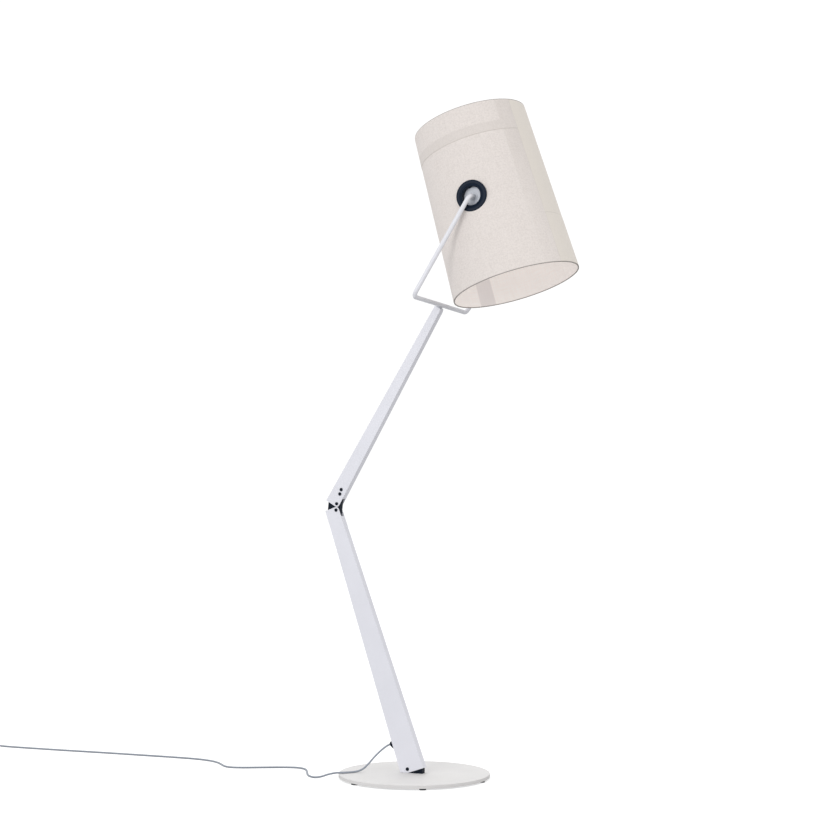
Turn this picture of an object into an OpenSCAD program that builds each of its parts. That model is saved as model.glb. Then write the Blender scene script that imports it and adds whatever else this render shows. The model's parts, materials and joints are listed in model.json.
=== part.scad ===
// Adjustable arm floor lamp. Millimetres, +Z up. The origin is on the floor under the centre
// of the round base plate. The arms fold in the XZ plane, and the fork's bar lies along Y.

/* [Base] */
// Diameter of the round base plate
base_d = 400; // [340:1:480]
// Thickness of the base plate
plate_t = 8; // [6:0.5:12]
// Height of the feet under the plate
foot_h = 4; // [3:0.5:8]
// Diameter of each foot
foot_d = 18; // [12:1:30]
// Distance from the rim to each foot's centre
foot_inset = 10; // [10:1:60]
// Number of feet
foot_n = 6; // [3:1:8]
// Direction of the first foot, in degrees from +X
foot_start = 0; // [-180:1:180]
// Distance of the base pivot from the plate's centre, towards -X
base_pin_x = 15; // [0:1:40]
// Height of the base pivot above the plate
base_pin_h = 10; // [9:0.5:14]
// Height of the black core that stands on the plate inside the arm
core_h = 28; // [24:1:40]

/* [Arms] */
// Distance between the lower arm's two pivots, along the arm
lower_len = 715; // [500:5:900]
// Distance from the upper arm's elbow pivot to its top end
upper_len = 602; // [400:5:750]
// Width of the lower arm at the base pivot
lower_w = 67; // [60:1:80]
// Width of both arms at the elbow
elbow_w = 40; // [36:1:50]
// Width of the upper arm at its top end
top_w = 20; // [18:0.5:26]
// Thickness of both arms, front to back
arm_t = 22; // [20:0.5:30]
// Wall of the arms' hollow section
arm_wall = 2; // [1.5:0.25:3]
// Lean of the lower arm from upright, towards -X
lower_lean = 19.1; // [10:0.1:25]
// Lean of the upper arm from upright, towards +X
upper_lean = 30.9; // [10:0.1:50]
// Distance of the base pivot from the lower arm's centre line, towards -X
base_pin_off = 11; // [6:0.5:16]
// Length of the bevel at the top of the upper arm's narrow face
top_bevel = 10; // [4:1:16]

/* [Elbow] */
// Distance from each elbow pivot to the arms' right edge and to their ends
elbow_edge = 8.3; // [7:0.1:10]
// How far the link reaches left of its pins
link_left = 26.5; // [20:0.5:28]
// How far the link reaches right of its pins
link_right = 10; // [8:0.5:11]
// How far the link reaches past each pin, inside the arm
link_end = 15; // [12:0.5:17]
// Length of the cut in the arms' narrow right walls, from the pivot
slot_len = 20; // [18:1:30]
// Diameter of the pivot pins
pin_d = 8; // [6:0.5:9]
// Diameter of the black pin and screw heads
head_d = 9.4; // [8.5:0.1:11]
// Thickness of the friction washers beside the link and the core
washer_t = 0.8; // [0.5:0.1:1.2]
// Diameter of the friction washers
washer_d = 15; // [12:0.5:16]

/* [Fork] */
// Diameter of the fork's tube
rod_d = 12; // [10:0.5:14]
// Wall of the fork's tube
rod_wall = 1.5; // [1:0.25:2]
// Distance from the bar to the tilt axis
fork_len = 295; // [290:1:330]
// Thickness of the washer under the bar
swivel_washer_t = 2; // [1:0.5:4]
// Diameter of the hollow stem that turns in the upper arm
stem_d = 10; // [9:0.5:11]
// Bore of the stem
stem_bore = 6; // [4:0.5:6.5]
// Length of the bush in the top of the upper arm
bush_len = 40; // [25:1:60]
// Diameter of the pins at the fork's tips
tip_pin_d = 8; // [6:0.5:8]

/* [Shade] */
// Outer diameter of the shade's lower rim
shade_d_bottom = 340; // [300:1:340]
// Outer diameter of the shade's upper rim
shade_d_top = 304; // [260:1:310]
// Height of the shade along its axis
shade_h = 460; // [380:1:470]
// Height of the tilt axis above the lower rim
pivot_up = 222; // [180:1:240]
// Tilt of the shade's axis from upright, top towards -X
shade_tilt = 16.4; // [-20:0.1:40]
// Thickness of the fabric cover
cover_t = 1.2; // [0.8:0.1:2]
// Thickness of the stiff liner behind the fabric
liner_t = 0.8; // [0.5:0.1:1.5]
// Height of the metal hoop at each rim
hoop_h = 1.6; // [1:0.1:4]
// Outer diameter of the eyelet's flange
eyelet_d = 82; // [76:1:100]
// Diameter of the eyelet's hole
eyelet_hole = 50; // [44:1:56]
// Thickness of the eyelet's flange over the fabric
eyelet_t = 2.5; // [1.5:0.25:3.5]
// Distance from the shade's axis to the outer face of each hub disc
hub_y = 148; // [140:1:150]

/* [Lampholder] */
// Outer diameter of the tube that joins the two hubs
crossbar_d = 20; // [19:0.5:24]
// Outer diameter of the lampholder's body
holder_d = 40; // [36:1:46]
// Length of the lampholder's body
holder_len = 38; // [34:1:50]
// Length of the lampholder's cap
cap_len = 20; // [15:1:30]
// Bore of the screw shell that takes the lamp
screw_bore = 26.6; // [26.2:0.1:27]
// Length of the screw shell
screw_len = 26; // [20:1:30]

/* [Cord] */
// Diameter of the mains cord
cord_d = 5; // [4:0.5:6]
// Height of the cord's exit above the base pivot, along the arm
gland_up = 75; // [65:1:120]
// How far the cord gland stands out of the arm
gland_out = 8; // [6:0.5:12]
// Mean radius of the coil of spare cord
coil_r = 28.5; // [26:0.5:40]
// Width and height of the coil's bundle of turns
coil_band = 16; // [14:1:20]

/* [Foot switch] */
// Length of the foot switch
switch_len = 70; // [60:1:90]
// Width of the foot switch
switch_w = 32; // [30:1:44]
// Height of the foot switch's housing
switch_h = 18; // [17:0.5:24]
// Diameter of its button
button_d = 20; // [16:0.5:22]
// Travel of its button
button_travel = 2.5; // [1.5:0.25:2.75]

/* [Hidden] */
$fn = 96;
run_fit = 0.05;       // radial clearance of a turning fit
seat_fit = 0.1;       // gap round a piece that sits in another
part_gap = 0.3;       // gap between pieces that move past each other
over = 1;             // how far a cut runs past the solid it cuts
head_t = 0.8;         // how far a pin head stands out of the wall
insert_screw_d = 5;   // screws that hold the insert in the upper arm
insert_low = 21;      // insert's lower end above the upper elbow pivot
insert_high = 47;     // insert's upper end
insert_screws = [[5.4, 27.8], [7.8, 40]];  // each screw: left of the pivot, above the pivot
gland_w = 18;         // width of the cord gland, front to back
lead_d = 4;           // inner lead
lead_bend = 16;       // radius of the inner lead's bend at the gland
corner_r = 16;        // bend radius of the fork's lower corners
tip_r = 16;           // bend radius of the fork's upper corners
tube_step = 0.02;     // how much thinner the straight runs of a bent tube are
tube_lap = 0.3;        // how far they run into the bends
tip_out = 172;        // distance of the fork's arms from the centre, at the tilt axis
arm_lean = 2.5;       // how far each arm of the fork leans inward
tip_end = 152;        // where the tube ends inside the eyelet
tip_pin_in = 3;       // how far the shouldered pins reach into the tube's ends
hub_t = 3;            // thickness of a hub disc
hub_wall = 3;         // wall of a hub's rim
sleeve_wall = 4;      // wall of the eyelet's sleeve
eyelet_back = 153;    // distance of the flange's back from the shade's axis
nut_af = 12;          // lock nut, across flats
nut_t = 3.6;          // lock nut, thickness
nipple_d = 10;        // threaded tube that carries the lampholder
nipple_bore = 6.5;    // its bore
nipple_out = 8;       // length of it that shows
switch_base_h = 6;    // height of the foot switch's lower half
switch_wall = 2;      // wall of the foot switch
switch_cord_z = 7;    // height of the cord where it goes through the switch
switch_x = -1412;     // centre of the foot switch
switch_y = 2;
coil_x = -1502;       // centre of the coil
coil_y = 31;
coil_cut = 3;         // how much is cut from the corners of its bundle
tie_turn = 198;       // direction of the coil's tie, in degrees from +X
tie_span = 10;        // how much of the turn the tie covers
tie_t = 0.8;          // thickness of the tie
plug_len = 32;        // plug without its pins and its neck
plug_neck = 10;       // length of the round neck that the cord enters
plug_neck_d = 9;
plug_w = 34;
plug_t = 14;
plug_pin_d = 4;
plug_pin_len = 19;
plug_pin_gap = 18.6;  // distance between the pins at the plug's face

// The cord's route, chosen by hand: out of the gland, down on to the plate, over the rim,
// along the floor in slow bends, through the foot switch and into the coil.
cord_route = [
    [-68, 0, 83], [-80, -2, 77], [-94, -8, 65], [-107, -18, 50], [-118, -30, 34],
    [-127, -42, 22], [-137, -55, 16], [-150, -72, 14.6], [-165, -88, 14.8], [-181, -102, 15],
    [-198, -112, 11.5], [-216, -118, 5.5], [-236, -118, 2.6], [-256, -106, 2.5], [-272, -86, 2.5],
    [-286, -62, 2.5], [-302, -34, 2.5], [-320, -10, 2.5], [-342, 2, 2.5], [-368, 1, 2.5],
    [-400, -11, 2.5], [-440, -31, 2.5], [-480, -52, 2.5], [-510, -62, 2.5], [-534, -60, 2.5],
    [-554, -46, 2.5], [-574, -26, 2.5], [-598, -5, 2.5], [-630, 12, 2.5], [-680, 24, 2.5],
    [-750, 26, 2.5], [-850, 23, 2.5], [-980, 18, 2.5], [-1120, 10, 2.5], [-1250, 5, 2.5],
    [-1340, 3, 3], [-1376, 2, 6.8], [-1412, 2, 7], [-1448, 2, 6.8], [-1466, -3, 3.6],
    [-1482, -7.2, 2.6], [-1496, -7.7, 2.6]
];

pin_r = pin_d / 2;
rod_r = rod_d / 2;
plate_top = foot_h + plate_t;
cavity_t = arm_t - 2 * arm_wall;
link_t = cavity_t - 2 * washer_t - 2 * seat_fit;
elbow_pin_off = elbow_w / 2 - elbow_edge;   // elbow pivots, right of the arms' centre line
link_pitch = 2 * (elbow_edge + part_gap);   // distance between the two elbow pivots
end_r = base_pin_h - part_gap;              // lower arm's foot, from the base pivot
lower_taper = (lower_w - elbow_w) / 2 / lower_len;
upper_taper = (elbow_w - top_w) / 2 / upper_len;
link_lean = (upper_lean - lower_lean) / 2;

function axis_x(a) = [cos(a), 0, -sin(a)];
function axis_z(a) = [sin(a), 0, cos(a)];
function lower_half(z) = lower_w / 2 - lower_taper * z;
function upper_half(z) = elbow_w / 2 - upper_taper * z;

base_pin = [-base_pin_x, 0, plate_top + base_pin_h];
lower_root = base_pin + base_pin_off * axis_x(-lower_lean);
elbow_low = lower_root + elbow_pin_off * axis_x(-lower_lean) + lower_len * axis_z(-lower_lean);
elbow_high = elbow_low + link_pitch * axis_z(link_lean);
upper_root = elbow_high - elbow_pin_off * axis_x(upper_lean);
bar_up = upper_len + swivel_washer_t + part_gap + rod_r;
bar_centre = upper_root + bar_up * axis_z(upper_lean);
shade_pivot = bar_centre + fork_len * axis_z(upper_lean);

shade_top = shade_h - pivot_up;
shade_taper = (shade_d_bottom - shade_d_top) / 2 / shade_h;
shade_skin = cover_t + liner_t;
function shade_r(z) = shade_d_bottom / 2 - shade_taper * (z + pivot_up);
sleeve_r = eyelet_hole / 2 + sleeve_wall;
hub_r = sleeve_r + hub_wall;
nut_r = nut_af / 2 / cos(30);
crossbar_r = crossbar_d / 2;
crossbar_bore_r = nut_r + part_gap + 0.5;
holder_top = crossbar_r + nipple_out;
holder_low = holder_top + cap_len + holder_len;

// ---------- helpers ----------

module at_lower() { translate(lower_root) rotate([0, -lower_lean, 0]) children(); }
module at_upper() { translate(upper_root) rotate([0, upper_lean, 0]) children(); }
module at_link() { translate((elbow_low + elbow_high) / 2) rotate([0, link_lean, 0]) children(); }
module at_fork() { translate(bar_centre) rotate([0, upper_lean, 0]) children(); }
module at_shade() { translate(shade_pivot) rotate([0, -shade_tilt, 0]) children(); }
module both_sides() { children(); mirror([0, 1, 0]) children(); }

// A profile drawn in X and Z, and given a thickness along Y
module slab(t) { rotate([90, 0, 0]) linear_extrude(height = t, center = true) children(); }

// A round bar along Y through [x, z]
module cross(x, z, r, len) {
    translate([x, 0, z]) rotate([90, 0, 0]) cylinder(r = r, h = len, center = true);
}

// A ring about Y on one side, between two distances from the middle
module side_ring(y0, y1, r_out, r_in = 0) {
    translate([0, -y0, 0]) rotate([90, 0, 0]) difference() {
        cylinder(r = r_out, h = y1 - y0);
        if (r_in > 0) translate([0, 0, -over]) cylinder(r = r_in, h = y1 - y0 + 2 * over);
    }
}

// A pin along Y through both walls of an arm, with a low head on each side
module headed_pin(x, z, d) {
    cross(x, z, d / 2, arm_t + 2 * head_t);
    for (s = [-1, 1]) translate([x, s * (arm_t + head_t) / 2, z]) rotate([90, 0, 0])
        cylinder(d = head_d, h = head_t, center = true);
}

// ---------- base ----------

core_screw_x = [-25, 5];    // the core's two screws, from the plate's centre
core_screw_d = 5;
core_screw_head = 10;
core_head_t = 2.8;          // height of a screw's head
core_screw_in = 8;          // how far a screw reaches into the core

module base_plate() {
    color([0.90, 0.89, 0.88]) difference() {
        union() {
            translate([0, 0, foot_h]) cylinder(d = base_d - 2, h = plate_t, $fn = 180);
            translate([0, 0, foot_h]) cylinder(d = base_d, h = plate_t - 1, $fn = 180);
        }
        for (x = core_screw_x) translate([x, 0, foot_h - over]) {
            cylinder(d = core_screw_d + 2 * seat_fit, h = plate_t + 2 * over);
            cylinder(d = core_screw_head + 4 * seat_fit, h = over + core_head_t + 0.4);
        }
    }
}

module base_feet() {
    for (i = [0 : foot_n - 1]) rotate([0, 0, foot_start + i * 360 / foot_n])
        translate([base_d / 2 - foot_inset, 0, 0]) color([0.16, 0.17, 0.2]) {
            cylinder(d = foot_d, h = foot_h);
        }
}

core_right = base_pin_off + lower_w / 2 - arm_wall - 0.8;
core_left = lower_w / 2 - base_pin_off - arm_wall - end_r * tan(lower_lean) - 0.6;

module base_core() {
    color([0.1, 0.13, 0.18]) difference() {
        translate([base_pin[0], 0, plate_top]) slab(link_t) polygon([
            [-core_left, 0], [core_right, 0], [core_right, core_h * 0.45],
            [core_right * 0.55, core_h], [-core_left, core_h]]);
        cross(base_pin[0], base_pin[2], pin_r + run_fit, arm_t);
        for (x = core_screw_x) translate([x, 0, plate_top - over])
            cylinder(d = core_screw_d, h = over + core_screw_in + 1);
    }
}

module base_core_screws() {
    for (x = core_screw_x) translate([x, 0, foot_h + 0.2])
        color([0.55, 0.56, 0.58]) difference() {
            union() {
                cylinder(d = core_screw_head, h = core_head_t);
                cylinder(d = core_screw_d - 2 * run_fit, h = plate_t + core_screw_in);
            }
            translate([0, 0, -over]) cylinder(d = 3.5, h = over + 2, $fn = 6);
        }
}

module base_washers() {
    for (s = [-1, 1]) translate([base_pin[0], s * (link_t + washer_t + seat_fit) / 2, base_pin[2]])
        rotate([90, 0, 0]) color([0.3, 0.3, 0.32]) difference() {
            cylinder(d = washer_d, h = washer_t, center = true);
            cylinder(r = pin_r + run_fit, h = washer_t + over, center = true);
        }
}

module base_pin() {
    color([0.1, 0.12, 0.16]) at_lower() headed_pin(-base_pin_off, 0, pin_d);
}

// ---------- lower arm ----------

// Where the foot's slanted cut meets the arm's left edge: the cut lies flat on the plate
foot_cut = (lower_w / 2 - base_pin_off - end_r * sin(lower_lean)
    + lower_taper * end_r * cos(lower_lean)) / (cos(lower_lean) + lower_taper * sin(lower_lean));
foot_left = [-base_pin_off - end_r * sin(lower_lean) - foot_cut * cos(lower_lean),
    -end_r * cos(lower_lean) + foot_cut * sin(lower_lean)];
lower_top = lower_len + elbow_edge;

module lower_outline() {
    polygon([[lower_half(-end_r), -end_r], [-base_pin_off, -end_r],
        [-base_pin_off - end_r * sin(lower_lean), -end_r * cos(lower_lean)], foot_left,
        [-lower_half(lower_top), lower_top], [elbow_pin_off, lower_top],
        [elbow_w / 2, lower_len]]);
}

module lower_arm() {
    color([0.89, 0.89, 0.91]) at_lower() difference() {
        union() {
            slab(arm_t) lower_outline();
            cross(-base_pin_off, 0, end_r, arm_t);
            cross(elbow_pin_off, lower_len, elbow_edge, arm_t);
        }
        slab(cavity_t) polygon([for (p = [[1, -2 * end_r], [1, lower_top + over],
            [-1, lower_top + over], [-1, -2 * end_r]])
            [p[0] * (lower_half(p[1]) - arm_wall), p[1]]]);
        translate([lower_half(lower_len), 0, lower_top + over - (slot_len + elbow_edge + over) / 2])
            cube([3 * arm_wall, cavity_t, slot_len + elbow_edge + over], center = true);
        translate([elbow_pin_off, 0, lower_len])
            cube([4 * elbow_edge, cavity_t, 4 * elbow_edge], center = true);
        cross(-base_pin_off, 0, pin_r + run_fit, arm_t + over);
        cross(elbow_pin_off, lower_len, pin_r + run_fit, arm_t + over);
        translate([-lower_half(gland_up), 0, gland_up]) rotate([0, 90, 0])
            cylinder(d = cord_d + 3, h = 4 * arm_wall, center = true);
    }
}

// A half-drop shaped gland: thick where the cord leaves, thin at its lower end
module cord_gland() {
    edge = -lower_half(gland_up);
    color([0.1, 0.13, 0.18]) at_lower() difference() {
        union() {
            slab(gland_w) polygon([for (p = [[0.1, -15], [0.1, 7], [gland_out * 0.6, 6],
                [gland_out, 3], [gland_out, -3.5], [gland_out * 0.45, -11]])
                [-lower_half(gland_up + p[1]) - p[0], gland_up + p[1]]]);
            translate([edge - 1, 0, gland_up]) rotate([0, 90, 0])
                cylinder(d = cord_d + 2.8, h = arm_wall + 4);
        }
        translate([edge - gland_out - over, 0, gland_up]) rotate([0, 90, 0])
            cylinder(d = cord_d + 0.2, h = gland_out + arm_wall + 6);
    }
}

module lower_lead() {
    edge = -lower_half(gland_up) + arm_wall + 3.4;
    turn = edge + 2;
    color([0.7, 0.72, 0.76]) at_lower() {
        translate([edge, 0, gland_up]) rotate([0, 90, 0]) cylinder(d = lead_d, h = turn - edge);
        translate([turn, 0, gland_up + lead_bend]) rotate([90, 0, 0]) rotate([0, 0, -90])
            rotate_extrude(angle = 90) translate([lead_bend, 0]) circle(d = lead_d, $fn = 24);
        translate([turn + lead_bend, 0, gland_up + lead_bend])
            cylinder(d = lead_d, h = lower_len - gland_up - lead_bend - 34);
    }
}

// ---------- elbow ----------

module elbow_pin_lower() {
    color([0.1, 0.12, 0.16]) at_lower() headed_pin(elbow_pin_off, lower_len, pin_d);
}

link_half = link_pitch / 2;
link_side = sqrt(pow(elbow_w - elbow_edge - arm_wall - 0.8, 2) - pow(link_left, 2));

module elbow_link() {
    color([0.1, 0.13, 0.18]) at_link() difference() {
        slab(link_t) polygon([
            [-link_left, -link_half - link_side * 0.6], [-link_left * 0.6, -link_half - link_end],
            [link_right - 5, -link_half - link_end], [link_right, -link_half - link_end + 5],
            [link_right, link_half + link_end - 5], [link_right - 5, link_half + link_end],
            [-link_left * 0.6, link_half + link_end], [-link_left, link_half + link_side * 0.6]]);
        for (s = [-1, 1]) cross(0, s * link_half, pin_r + run_fit, arm_t);
    }
}

module elbow_washers() {
    at_link() for (z = [-link_half, link_half]) for (s = [-1, 1])
        translate([0, s * (link_t + washer_t + seat_fit) / 2, z]) rotate([90, 0, 0])
            color([0.3, 0.3, 0.32]) difference() {
                cylinder(d = washer_d, h = washer_t, center = true);
                cylinder(r = pin_r + run_fit, h = washer_t + over, center = true);
            }
}

module elbow_pin_upper() {
    color([0.1, 0.12, 0.16]) at_upper() headed_pin(elbow_pin_off, 0, pin_d);
}

// ---------- upper arm ----------

module upper_arm() {
    color([0.88, 0.88, 0.90]) at_upper() difference() {
        union() {
            slab(arm_t) polygon([[elbow_pin_off, -elbow_edge], [elbow_w / 2, 0],
                [upper_half(upper_len - top_bevel), upper_len - top_bevel],
                [upper_half(upper_len) - 1.5, upper_len], [-upper_half(upper_len), upper_len],
                [-upper_half(-elbow_edge), -elbow_edge]]);
            cross(elbow_pin_off, 0, elbow_edge, arm_t);
        }
        slab(cavity_t) polygon([for (p = [[1, -2 * elbow_edge], [1, upper_len + over],
            [-1, upper_len + over], [-1, -2 * elbow_edge]])
            [p[0] * (upper_half(p[1]) - arm_wall), p[1]]]);
        translate([elbow_w / 2, 0, (slot_len - elbow_edge - over) / 2])
            cube([3 * arm_wall, cavity_t, slot_len + elbow_edge + over], center = true);
        translate([elbow_pin_off, 0, 0])
            cube([4 * elbow_edge, cavity_t, 4 * elbow_edge], center = true);
        cross(elbow_pin_off, 0, pin_r + run_fit, arm_t + over);
        for (p = insert_screws)
            cross(elbow_pin_off - p[0], p[1], insert_screw_d / 2 + run_fit, arm_t + over);
    }
}

lead_foot = [-9, insert_low + 3];   // the upper lead's lower end
lead_head = [0, upper_len - bush_len - 16];

module upper_insert() {
    color([0.12, 0.14, 0.18]) at_upper() difference() {
        slab(cavity_t - 2 * seat_fit) polygon([for (p = [[1, insert_low], [1, insert_high],
            [-1, insert_high], [-1, insert_low]])
            [p[0] * (upper_half(p[1]) - arm_wall - seat_fit), p[1]]]);
        for (p = insert_screws)
            cross(elbow_pin_off - p[0], p[1], insert_screw_d / 2 + run_fit, arm_t);
        translate([lead_foot[0], 0, insert_low - over])
            cylinder(d = lead_d + 2, h = insert_high - insert_low + 2 * over);
    }
}

module insert_screws() {
    color([0.1, 0.12, 0.16]) at_upper() for (p = insert_screws)
        headed_pin(elbow_pin_off - p[0], p[1], insert_screw_d);
}

module upper_lead() {
    run = lead_head - lead_foot;
    color([0.7, 0.72, 0.76]) at_upper() translate([lead_foot[0], 0, lead_foot[1]])
        rotate([0, atan2(run[0], run[1]), 0]) cylinder(d = lead_d, h = norm(run));
}

module swivel_bush() {
    low = upper_len - bush_len;
    color([0.12, 0.14, 0.18]) at_upper() difference() {
        slab(cavity_t - 2 * seat_fit) polygon([for (p = [[1, low], [1, upper_len - 0.5],
            [-1, upper_len - 0.5], [-1, low]])
            [p[0] * (upper_half(p[1]) - arm_wall - seat_fit), p[1]]]);
        translate([0, 0, low - over]) cylinder(r = stem_d / 2 + run_fit, h = bush_len + 2 * over);
    }
}

// ---------- fork ----------

stem_low = -(rod_r + part_gap + swivel_washer_t + bush_len + 5);   // from the bar's centre

module swivel_washer() {
    color([0.85, 0.84, 0.82]) at_fork() translate([0, 0, -rod_r - part_gap / 2 - swivel_washer_t])
        difference() {
            cylinder(d = top_w - 2, h = swivel_washer_t);
            translate([0, 0, -over])
                cylinder(r = stem_d / 2 + run_fit, h = swivel_washer_t + 2 * over);
        }
}

module swivel_stem() {
    color([0.85, 0.85, 0.87]) at_fork() difference() {
        translate([0, 0, stem_low]) cylinder(d = stem_d, h = -rod_r + rod_wall - stem_low + 0.4);
        translate([0, 0, stem_low - over]) cylinder(d = stem_bore, h = 2 * over - stem_low);
        translate([0, 0, stem_low + 2]) difference() {
            cylinder(d = stem_d + 2, h = 1.4);
            translate([0, 0, -over]) cylinder(d = stem_d - 1.4, h = 1.4 + 2 * over);
        }
    }
}

module swivel_circlip() {
    color([0.5, 0.51, 0.53]) at_fork() translate([0, 0, stem_low + 2.1]) difference() {
        cylinder(d = stem_d + 4, h = 1.2);
        translate([0, 0, -over]) cylinder(d = stem_d - 1.3, h = 1.2 + 2 * over);
    }
}

// The fork is one bent tube. Each side is a chain: half of the bar, the lower bend, the arm,
// the upper bend and the tip, every piece placed at the end of the one before it.
corner_cut = corner_r * tan((90 + arm_lean) / 2);
tip_cut = tip_r * tan((90 - arm_lean) / 2);
arm_run = fork_len / cos(arm_lean) - corner_cut - tip_cut;
bar_half = tip_out + fork_len * tan(arm_lean) - corner_cut;

module tube_run(r, bore, h) {
    difference() {
        cylinder(r = r, h = h, $fn = 48);
        if (bore > 0) translate([0, 0, -over]) cylinder(r = bore, h = h + 2 * over, $fn = 48);
    }
}

module tube_bend(bend_r, from, angle, r, bore) {
    rotate([90, 0, 90]) rotate([0, 0, from]) rotate_extrude(angle = angle, $fn = 144)
        translate([bend_r, 0]) difference() {
            circle(r = r, $fn = 48);
            if (bore > 0) circle(r = bore, $fn = 48);
        }
}

// The straight runs are a hair thinner than the bends, and run into them a little
module fork_side(r, bore, tip) {
    run_r = r - tube_step;
    run_bore = bore > 0 ? bore + tube_step : 0;
    translate([0, -bar_half, 0]) {
        translate([0, -tube_lap, 0]) rotate([-90, 0, 0])
            tube_run(run_r, run_bore, bar_half + tube_lap);
        translate([0, 0, corner_r]) {
            tube_bend(corner_r, 180 - arm_lean, 90 + arm_lean, r, bore);
            rotate([-arm_lean, 0, 0]) translate([0, -corner_r, 0]) {
                translate([0, 0, -tube_lap]) tube_run(run_r, run_bore, arm_run + 2 * tube_lap);
                translate([0, tip_r, arm_run]) {
                    tube_bend(tip_r, 90 + arm_lean, 90 - arm_lean, r, bore);
                    rotate([arm_lean, 0, 0]) translate([0, -tube_lap, tip_r]) rotate([-90, 0, 0])
                        tube_run(run_r, run_bore, tip_out - tip_cut - tip + tube_lap);
                }
            }
        }
    }
}

module fork_rod() {
    color([0.88, 0.88, 0.89]) at_fork() difference() {
        both_sides() fork_side(rod_r, rod_r - rod_wall, tip_end);
        translate([0, 0, -rod_r - over])
            cylinder(r = stem_d / 2 + run_fit, h = over + 2 * rod_wall);
    }
}

module fork_lead() {
    color([0.7, 0.72, 0.76]) at_fork() both_sides() fork_side(lead_d / 2, 0, tip_out - tip_cut - 1);
}

// Shouldered pins in the ends of the tube: they pass through the hubs
module tip_pins() {
    color([0.6, 0.61, 0.63]) at_fork() both_sides() translate([0, 0, fork_len]) {
        side_ring(tip_end, tip_end + tip_pin_in, rod_r - rod_wall - run_fit, 1.6);
        side_ring(hub_y - hub_t - nut_t - 2, tip_end, tip_pin_d / 2, 1.6);
    }
}

module tip_washers() {
    color([0.86, 0.88, 0.92]) at_fork() both_sides() translate([0, 0, fork_len])
        side_ring(hub_y + part_gap, tip_end - seat_fit, tip_pin_d / 2 + 3, tip_pin_d / 2 + run_fit);
}

module tip_locknuts() {
    color([0.6, 0.61, 0.63]) at_fork() both_sides()
        translate([0, -(hub_y - hub_t - nut_t - part_gap), fork_len]) rotate([90, 0, 0])
            difference() {
                cylinder(r = nut_r, h = nut_t, $fn = 6);
                translate([0, 0, -over])
                    cylinder(r = tip_pin_d / 2 + run_fit, h = nut_t + 2 * over);
            }
}

// ---------- shade ----------

module hub_cups() {
    color([0.86, 0.88, 0.92]) at_shade() both_sides() {
        side_ring(hub_y - hub_t, hub_y, hub_r, tip_pin_d / 2 + run_fit);
        side_ring(hub_y, eyelet_back - seat_fit, hub_r, sleeve_r + run_fit);
    }
}

module eyelets() {
    lip = shade_r(0) + eyelet_t + 0.2;
    out = eyelet_d / 2;
    in = eyelet_hole / 2;
    color([0.1, 0.13, 0.19]) at_shade() both_sides() rotate([90, 0, 0]) rotate_extrude() polygon([
        [in, hub_y + seat_fit], [sleeve_r, hub_y + seat_fit], [sleeve_r, eyelet_back],
        [out, eyelet_back], [out, lip - 2.6], [out - 0.7, lip - 1.2], [out - 2.2, lip - 0.3],
        [out - 5, lip], [in + 5, lip - 0.4], [in + 4, lip - 0.2], [in + 2.8, lip + 0.4],
        [in + 1.4, lip + 0.2], [in + 0.4, lip - 0.6], [in, lip - 2]]);
}

module crossbar() {
    color([0.86, 0.86, 0.88]) at_shade() difference() {
        side_ring(-(hub_y - hub_t), hub_y - hub_t, crossbar_r, crossbar_bore_r);
        translate([0, 0, -crossbar_d]) cylinder(r = nipple_d / 2 + run_fit, h = crossbar_d);
    }
}

module holder_nipple() {
    color([0.75, 0.72, 0.6]) at_shade() translate([0, 0, -holder_top - 6]) difference() {
        cylinder(d = nipple_d, h = holder_top + 6 - crossbar_bore_r + 1.5);
        translate([0, 0, -over]) cylinder(d = nipple_bore, h = holder_top + 3 * over);
    }
}

module holder_cap() {
    color([0.9, 0.9, 0.9]) at_shade() difference() {
        union() {
            translate([0, 0, -holder_top - cap_len]) cylinder(d = holder_d, h = cap_len / 2);
            translate([0, 0, -holder_top - cap_len / 2])
                cylinder(d1 = holder_d, d2 = 18, h = cap_len / 2);
        }
        translate([0, 0, -holder_top - cap_len - over])
            cylinder(d = holder_d - 5, h = cap_len / 2 + over);
        translate([0, 0, -holder_top - cap_len])
            cylinder(r = nipple_d / 2 + run_fit, h = cap_len + over);
    }
}

module holder_body() {
    top = -holder_top - cap_len - seat_fit;
    color([0.9, 0.9, 0.9]) at_shade() difference() {
        union() {
            translate([0, 0, -holder_low]) cylinder(d = holder_d, h = top + holder_low);
            translate([0, 0, top - over]) cylinder(d = holder_d - 5.4, h = over + 5);
        }
        translate([0, 0, -holder_low - over])
            cylinder(d = screw_bore + 3, h = screw_len + 4 + over);
        translate([0, 0, -holder_low]) cylinder(d = 12, h = top + holder_low + 10);
    }
}

// The knurled ring that screws on to the body
module holder_ring() {
    color([0.92, 0.92, 0.92]) at_shade() translate([0, 0, -holder_low + 4]) difference() {
        cylinder(d = holder_d + 12, h = 5);
        translate([0, 0, -over]) cylinder(d = holder_d + 2 * run_fit, h = 5 + 2 * over);
        for (i = [0 : 11]) rotate([0, 0, i * 30]) translate([holder_d / 2 + 7.5, 0, -over])
            cylinder(r = 3, h = 5 + 2 * over, $fn = 24);
    }
}

module screw_shell() {
    color([0.8, 0.68, 0.4]) at_shade() translate([0, 0, -holder_low + 0.6]) difference() {
        cylinder(d = screw_bore + 3 - 2 * run_fit, h = screw_len);
        translate([0, 0, -over]) cylinder(d = screw_bore, h = screw_len + 2 * over);
    }
}

module centre_contact() {
    color([0.8, 0.68, 0.4]) at_shade() translate([0, 0, -holder_low + screw_len + 3.9 - 2.2])
        cylinder(d = 11, h = 2);
}

eyelet_cut_r = eyelet_d / 2 + seat_fit;

module shade_wall(out, in, low, high) {
    difference() {
        rotate_extrude($fn = 180) polygon([[shade_r(low) - in, low], [shade_r(low) - out, low],
            [shade_r(high) - out, high], [shade_r(high) - in, high]]);
        cross(0, 0, eyelet_cut_r, shade_d_bottom + 20);
    }
}

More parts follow.
